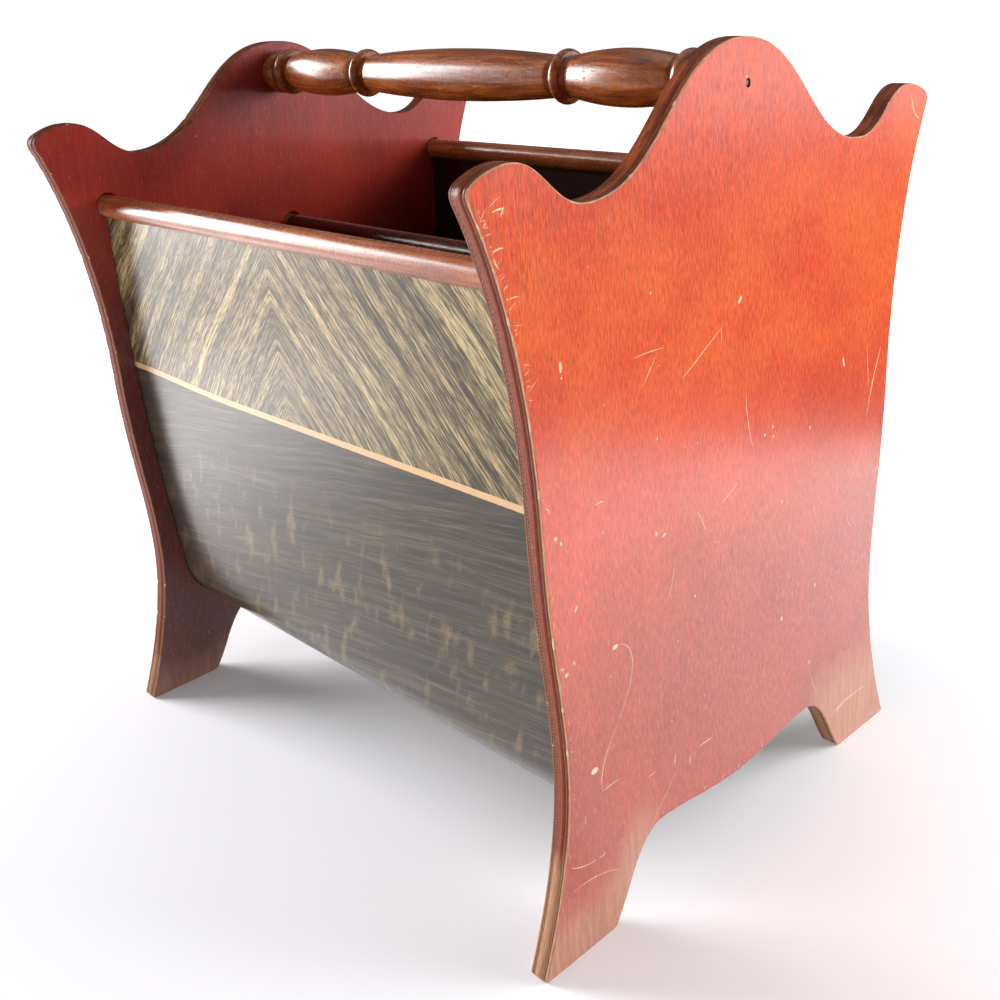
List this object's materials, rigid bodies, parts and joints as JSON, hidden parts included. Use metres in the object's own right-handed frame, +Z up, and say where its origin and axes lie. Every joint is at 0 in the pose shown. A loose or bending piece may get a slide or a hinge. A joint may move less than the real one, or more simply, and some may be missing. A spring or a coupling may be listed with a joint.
{
  "type": "magazine rack",
  "caption": "Free-standing wooden magazine rack: scroll-cut plywood end boards, a bent sheet trough with a centre divider, round cap rails and a turned carrying handle.",
  "frame": {"origin": "centre of the footprint, on the surface that the feet stand on", "axes": "+X along the carrying handle, -Y towards the decorated front wall, +Z up"},
  "size_m": [0.342, 0.314, 0.382],
  "materials": {
    "right_end_panel": "satin red-brown varnish on plywood, worn at the feet and edges",
    "left_end_panel": "satin red-brown varnish on plywood, worn at the feet and edges",
    "trough_shell": "glossy grained sheet: tan herringbone above a pale inlay line, smoky dark grain below",
    "divider_panel": "satin dark brown",
    "front_rail": "glossy walnut varnish",
    "back_rail": "glossy walnut varnish",
    "divider_rail": "glossy dark walnut varnish",
    "handle": "glossy walnut varnish over open pores",
    "right_nail": "dull, darkened with age",
    "left_nail": "dull, darkened with age"
  },
  "bodies": {
    "root": {"right_end_panel": "right_end_panel", "left_end_panel": "left_end_panel", "trough_shell": "trough_shell", "divider_panel": "divider_panel", "front_rail": "front_rail", "back_rail": "back_rail", "divider_rail": "divider_rail", "handle": "handle", "right_nail": "right_nail", "left_nail": "left_nail"}
  },
  "joints": []
}
